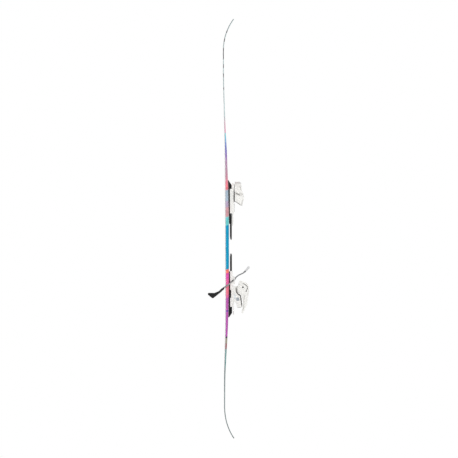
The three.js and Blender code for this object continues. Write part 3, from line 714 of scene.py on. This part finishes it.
class SKI_OT_body(Operator):
    """Make the printed cap, running base and steel edges"""

    bl_idname = "ski.body"
    bl_label = "Ski body"

    def execute(self, context):
        slot = NODE_SLOT
        cap = tube([self.cap_ring(x) for x in stations(TAIL["end"], TIP["end"])])
        smooth(cap, 38)
        finish_piece(cap, "cap_print", "ski", slot["cap_topsheet"], materials()["cap"], "cap_topsheet")
        base = tube([self.base_ring(x) for x in self.base_stations()])
        smooth(base, 30)
        finish_piece(base, "running_base", "ski", slot["base_sheet"], materials()["base"], "base_sheet")
        for name, side in (("left", 1), ("right", -1)):
            edge = tube([self.edge_ring(x, side) for x in stations(*EDGE_SPAN)])
            smooth(edge, 30)
            node = f"steel_edge_{name}"
            finish_piece(edge, f"edge_{name}", "ski", slot[node], materials()["steel"], node)
        return {"FINISHED"}

    @staticmethod
    def cap_ring(x):
        half = half_width(x)
        low = edge_height(x) + CAP_GAP
        top = thickness(x)
        rise = top - low
        outer_top = half - min(0.6 * rise + 1.5, 0.45 * half)
        inner_top = outer_top - min(1, 0.3 * outer_top)
        inner_foot = half - min(1.6, 0.25 * half)
        roof = max(low + 0.05, top - SKIN)
        side = [
            (half - 0.05, low), (mix(half, outer_top, 0.05), low + 0.12 * rise),
            (mix(half, outer_top, 0.18), low + 0.38 * rise),
            (mix(half, outer_top, 0.33), low + 0.62 * rise),
            (mix(half, outer_top, 0.5), low + 0.79 * rise),
            (mix(half, outer_top, 0.7), low + 0.91 * rise),
            (mix(half, outer_top, 0.87), low + 0.975 * rise), (outer_top, top),
        ]
        across = [(outer_top * (1 - 2 * i / 8), top) for i in range(1, 8)]
        left = [(-y, h) for y, h in reversed(side)]
        inner = [(-inner_foot, low), (-inner_top, roof), (inner_top, roof), (inner_foot, low)]
        return [on_ski(x, y, h) for y, h in side + across + left + inner]

    @staticmethod
    def base_stations():
        split = [EDGE_SPAN[0] - 2, EDGE_SPAN[0] - 0.5, EDGE_SPAN[1] + 0.5, EDGE_SPAN[1] + 2]
        return sorted(stations(TAIL["end"], TIP["end"]) + split)

    @staticmethod
    def base_ring(x):
        outside = x < EDGE_SPAN[0] - 1 or x > EDGE_SPAN[1] + 1
        half = half_width(x) if outside else half_width(x) - EDGE_WIDTH - BASE_GAP
        points = [(-half, 0), (-half / 2, 0), (0, 0), (half / 2, 0), (half, 0)]
        above = [(y, BASE_THICKNESS) for y, _ in reversed(points)]
        return [on_ski(x, y, h) for y, h in points + above]

    @staticmethod
    def edge_ring(x, side):
        outer = half_width(x)
        inner = outer - EDGE_WIDTH
        height = edge_height(x)
        profile = [
            (inner, 0), (outer - EDGE_BEND, 0), (outer, EDGE_BEND), (outer, height - EDGE_BEND),
            (outer - EDGE_BEND, height), (inner, height),
        ]
        return [on_ski(x, side * y, h) for y, h in profile]


class SKI_OT_rails(Operator):
    """Round the two binding rails"""

    bl_idname = "ski.rails"
    bl_label = "Rails"

    def execute(self, context):
        for node in ("front_rail", "rear_rail"):
            refine(node, 0.6)
        return {"FINISHED"}


class SKI_OT_toe(Operator):
    """Shape the toe unit's shells, wings and small parts"""

    bl_idname = "ski.toe"
    bl_label = "Toe unit"

    def execute(self, context):
        corners = {
            "toe_base": 0.8, "toe_housing": 0.9, "toe_cap": 1.4, "toe_wing_left": 1.6, "toe_wing_right": 1.6,
            "toe_seat": 0.4, "afd_base": 0.5, "afd_plate": 0.5, "toe_latch": 0.7, "toe_release_screw": 0.3,
            "toe_window": 0.3,
        }
        for node, corner in corners.items():
            refine(node, corner)
        for sign, side in ((1, "left"), (-1, "right")):
            wing = f"toe_wing_{side}"
            # Dark strips of painted shade on each wing: the gap in front of it, its shaded underside and a
            # crease.
            front = [(183.6, 38.6), (181.6, 44), (178.8, 50), (175.6, 56)]
            rear = [(154.4, 37.6), (149.6, 43.6), (145.2, 50), (141, 56.4)]
            seams("wing_front_gap_shade", wing, front, 2.1, sides=(sign,))
            seams("wing_underside_shade", wing, rear, 3.4, sides=(sign,))
            seams("wing_crease_shade", wing, [(141.5, 60.8), (152, 62.4), (165, 67)], 1.2, "line", sides=(sign,))
        # A strip of painted shade along the cap's crease.
        seams("cap_crease_shade", "toe_cap", [(214, 53.6), (203, 56.4), (193, 58.8)], 1.3, "line")
        return {"FINISHED"}


class SKI_OT_heel(Operator):
    """Shape the heel unit's shells, cup and lever"""

    bl_idname = "ski.heel"
    bl_label = "Heel unit"

    def execute(self, context):
        corners = {
            "heel_base": 0.8, "heel_carriage": 0.8, "heel_housing": 1.4, "heel_cup": 1.4, "heel_lever": 1.8,
            "heel_release_screw": 0.3, "heel_window": 0.2, "heel_axle": 0.4,
        }
        for node, corner in corners.items():
            refine(node, corner)
        # A strip of painted shade along the joint in the housing.
        seams("housing_gap_shade", "heel_housing", [
            (-157.5, 38.8), (-166, 39.4), (-173.4, 40.2), (-182, 45.4), (-188, 54), (-200, 55.8),
            (-212, 58.8), (-226, 59.4),
        ], 3.0)
        # A strip of painted shade around the cup's edge on the lever.
        seams("cup_edge_shade", "heel_lever", [
            (-143.4, 63), (-146, 69.5), (-149.6, 74.8), (-155, 79.6), (-161, 80.2), (-168, 77.6),
            (-175.7, 73.7),
        ], 2.2)
        smoked = [(-194.6, 44.4), (-198, 44.9), (-202, 45.5), (-206, 46.1)]
        pale = [(-182, 35), (-188, 35), (-194, 35), (-200, 35)]
        seams("smoked_panel", "heel_housing", smoked, 10.5, "panel", taper=False)
        seams("pale_panel", "heel_housing", pale, 4.2, "pale_panel", taper=False)
        # The axle is coloured dark so that its ends show as a dark dot at the pivot.
        bpy.data.objects["heel_axle_shell"].data.materials[0] = materials()["axle"]
        # A strip of painted shade along the lever's crease.
        crease = [(-184, 70), (-200, 67.4), (-216, 67.6), (-232, 66), (-243, 61.6)]
        seams("lever_crease_shade", "heel_lever", crease, 1.3, "line")
        return {"FINISHED"}


# Each release spring with the joint that shortens it, the end that stays put and the joint's travel.
SPRINGS = (
    ("toe_spring", "toe_rod_slide", 200.2, 5.0),
    ("heel_spring", "heel_piston_slide", -212.8, 4.0),
)


class SKI_OT_springs(Operator):
    """Make the two release springs, each scaled along its length to stop at its fixed end"""

    bl_idname = "ski.springs"
    bl_label = "Release springs"

    def execute(self, context):
        for node, joint, end, travel in SPRINGS:
            self.spring(node, joint, end, travel)
        return {"FINISHED"}

    @staticmethod
    def spring(node, joint, end, travel):
        """A coil that stops at end, clear of its nut; joint and travel are not used."""
        low, high = (corner.x / MM for corner in map(Vector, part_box(node)))
        far, near = (low, high) if end > 0 else (high, low)
        spring = fine_copy(node, 0)
        edit(spring)
        share = (end - far) / (near - far)
        bpy.ops.transform.resize(value=(share, 1, 1), center_override=(far * MM, 0, 0))
        done()
        finish_piece(spring, f"{node}_coil", NODE_BODY[node], NODE_SLOT[node], finish_for(node), node)
        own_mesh(spring)


class SKI_OT_brake(Operator):
    """Shape the brake's housing, feet, pedal and pad"""

    bl_idname = "ski.brake"
    bl_label = "Brake"

    def execute(self, context):
        corners = {
            "brake_housing": 0.8, "brake_foot_left": 0.9, "brake_foot_right": 0.9, "brake_pedal": 0.6,
            "brake_pad": 1.2,
        }
        for node, corner in corners.items():
            refine(node, corner)
        return {"FINISHED"}


class SKI_OT_finishes(Operator):
    """Give every CAD part that still shows its own finish"""

    bl_idname = "ski.finishes"
    bl_label = "Finishes"

    def execute(self, context):
        for name, obj in frame["nodes"].items():
            if obj.hide_render:
                continue
            obj.data.materials.clear()
            obj.data.materials.append(finish_for(name))
            smooth(obj, 40)
        return {"FINISHED"}


FLOOR_SIZE = 40
BRAKE_FOOT = Vector((-181.5, 0, -64))
FRONT_SPAN = range(560, 800)
FLOOR_GAP = 0.4
VIEW_SPAN = 1.6626
VIEW_MIDDLE = Vector((0.0545, 0, 0.0142))
VIEW_ROLL = -0.195
VIEW_AWAY = 2.2


class SKI_OT_stage(Operator):
    """Set the pale floor, the soft lights and the camera"""

    bl_idname = "ski.stage"
    bl_label = "Stage"

    def execute(self, context):
        self.floor()
        self.world(context)
        self.lights()
        self.camera(context)
        return {"FINISHED"}

    @staticmethod
    def floor():
        """A pale floor under the brake feet and the front of the ski."""
        foot = BRAKE_FOOT
        touch = min(FRONT_SPAN, key=lambda x: (base_z(x) - foot.z) / (x - foot.x))
        front = Vector((touch, 0, base_z(touch) - FLOOR_GAP))
        run = (front - foot).normalized()
        turn = run.to_track_quat("X", "Z").to_matrix().to_4x4()
        bpy.ops.mesh.primitive_grid_add(x_subdivisions=4, y_subdivisions=4, size=FLOOR_SIZE)
        floor = bpy.context.object
        floor.data.transform(Matrix.Translation(foot * MM) @ turn)
        floor.name = "floor"
        floor.data.materials.append(plastic("Studio floor", (0.86, 0.86, 0.86), 0.7, bump=0.0, tint=0.01))

    @staticmethod
    def world(context):
        world = bpy.data.worlds.new("Studio")
        context.scene.world = world
        world.use_nodes = True
        tree = world.node_tree
        seen = tree.nodes["Background"]
        seen.inputs["Color"].default_value = (1, 1, 1, 1)
        seen.inputs["Strength"].default_value = 1.0
        lit = tree.nodes.new("ShaderNodeBackground")
        lit.inputs["Color"].default_value = (1.0, 0.985, 0.96, 1)
        lit.inputs["Strength"].default_value = 0.3
        path = tree.nodes.new("ShaderNodeLightPath")
        blend = tree.nodes.new("ShaderNodeMixShader")
        link(tree, path.outputs["Is Camera Ray"], blend.inputs["Fac"])
        link(tree, lit.outputs["Background"], blend.inputs[1])
        link(tree, seen.outputs["Background"], blend.inputs[2])
        link(tree, blend.outputs["Shader"], tree.nodes["World Output"].inputs["Surface"])
        context.scene.view_settings.view_transform = "Standard"

    @staticmethod
    def lights():
        lamps = (
            ("key", (0.5, 2.6, 0.9), 1.6, 42),
            ("fill", (-1.6, 1.8, 1.4), 1.8, 10),
            ("rim", (0.2, -1.8, 2.0), 1.8, 26),
        )
        for name, place, size, power in lamps:
            bpy.ops.object.light_add(type="AREA", location=place)
            lamp = bpy.context.object
            lamp.name = f"{name}_light"
            lamp.data.size = size
            lamp.data.energy = power
            lamp.rotation_euler = (-Vector(place)).to_track_quat("-Z", "Y").to_euler()

    @staticmethod
    def camera(context):
        """A flat side view, with the tip up and the ski's base on the left."""
        bpy.ops.object.camera_add()
        camera = bpy.context.object
        camera.name = "side_camera"
        camera.data.type = "ORTHO"
        camera.data.ortho_scale = VIEW_SPAN
        right, up, back = Vector((0, 0, 1)), Vector((1, 0, 0)), Vector((0, 1, 0))
        turn = Matrix((right, up, back)).transposed().to_4x4()
        roll = Matrix.Rotation(math.radians(VIEW_ROLL), 4, "Y")
        place = VIEW_MIDDLE + Vector((0, VIEW_AWAY, 0))
        camera.matrix_world = Matrix.Translation(place) @ roll @ turn
        camera.data.clip_end = 30
        context.scene.camera = camera


class SKI_PT_panel(Panel):
    bl_label = "Ski"
    bl_space_type = "VIEW_3D"
    bl_region_type = "UI"
    bl_category = "Ski"

    def draw(self, context):
        look = context.scene.ski_look
        for name in SkiLook.__annotations__:
            self.layout.prop(look, name)
        for operator in OPERATORS:
            self.layout.operator(operator.bl_idname)


OPERATORS = (
    SKI_OT_body, SKI_OT_rails, SKI_OT_toe, SKI_OT_heel, SKI_OT_springs, SKI_OT_brake, SKI_OT_finishes,
    SKI_OT_stage,
)
CLASSES = (SkiLook, *OPERATORS, SKI_PT_panel)


def register():
    for cls in CLASSES:
        bpy.utils.register_class(cls)
    bpy.types.Scene.ski_look = PointerProperty(type=SkiLook)


def unregister():
    del bpy.types.Scene.ski_look
    for cls in reversed(CLASSES):
        bpy.utils.unregister_class(cls)


def main():
    register()
    bpy.ops.ski.body()
    bpy.ops.ski.rails()
    bpy.ops.ski.toe()
    bpy.ops.ski.heel()
    bpy.ops.ski.springs()
    bpy.ops.ski.brake()
    bpy.ops.ski.finishes()
    bpy.ops.ski.stage()


if __name__ == "__main__":
    main()
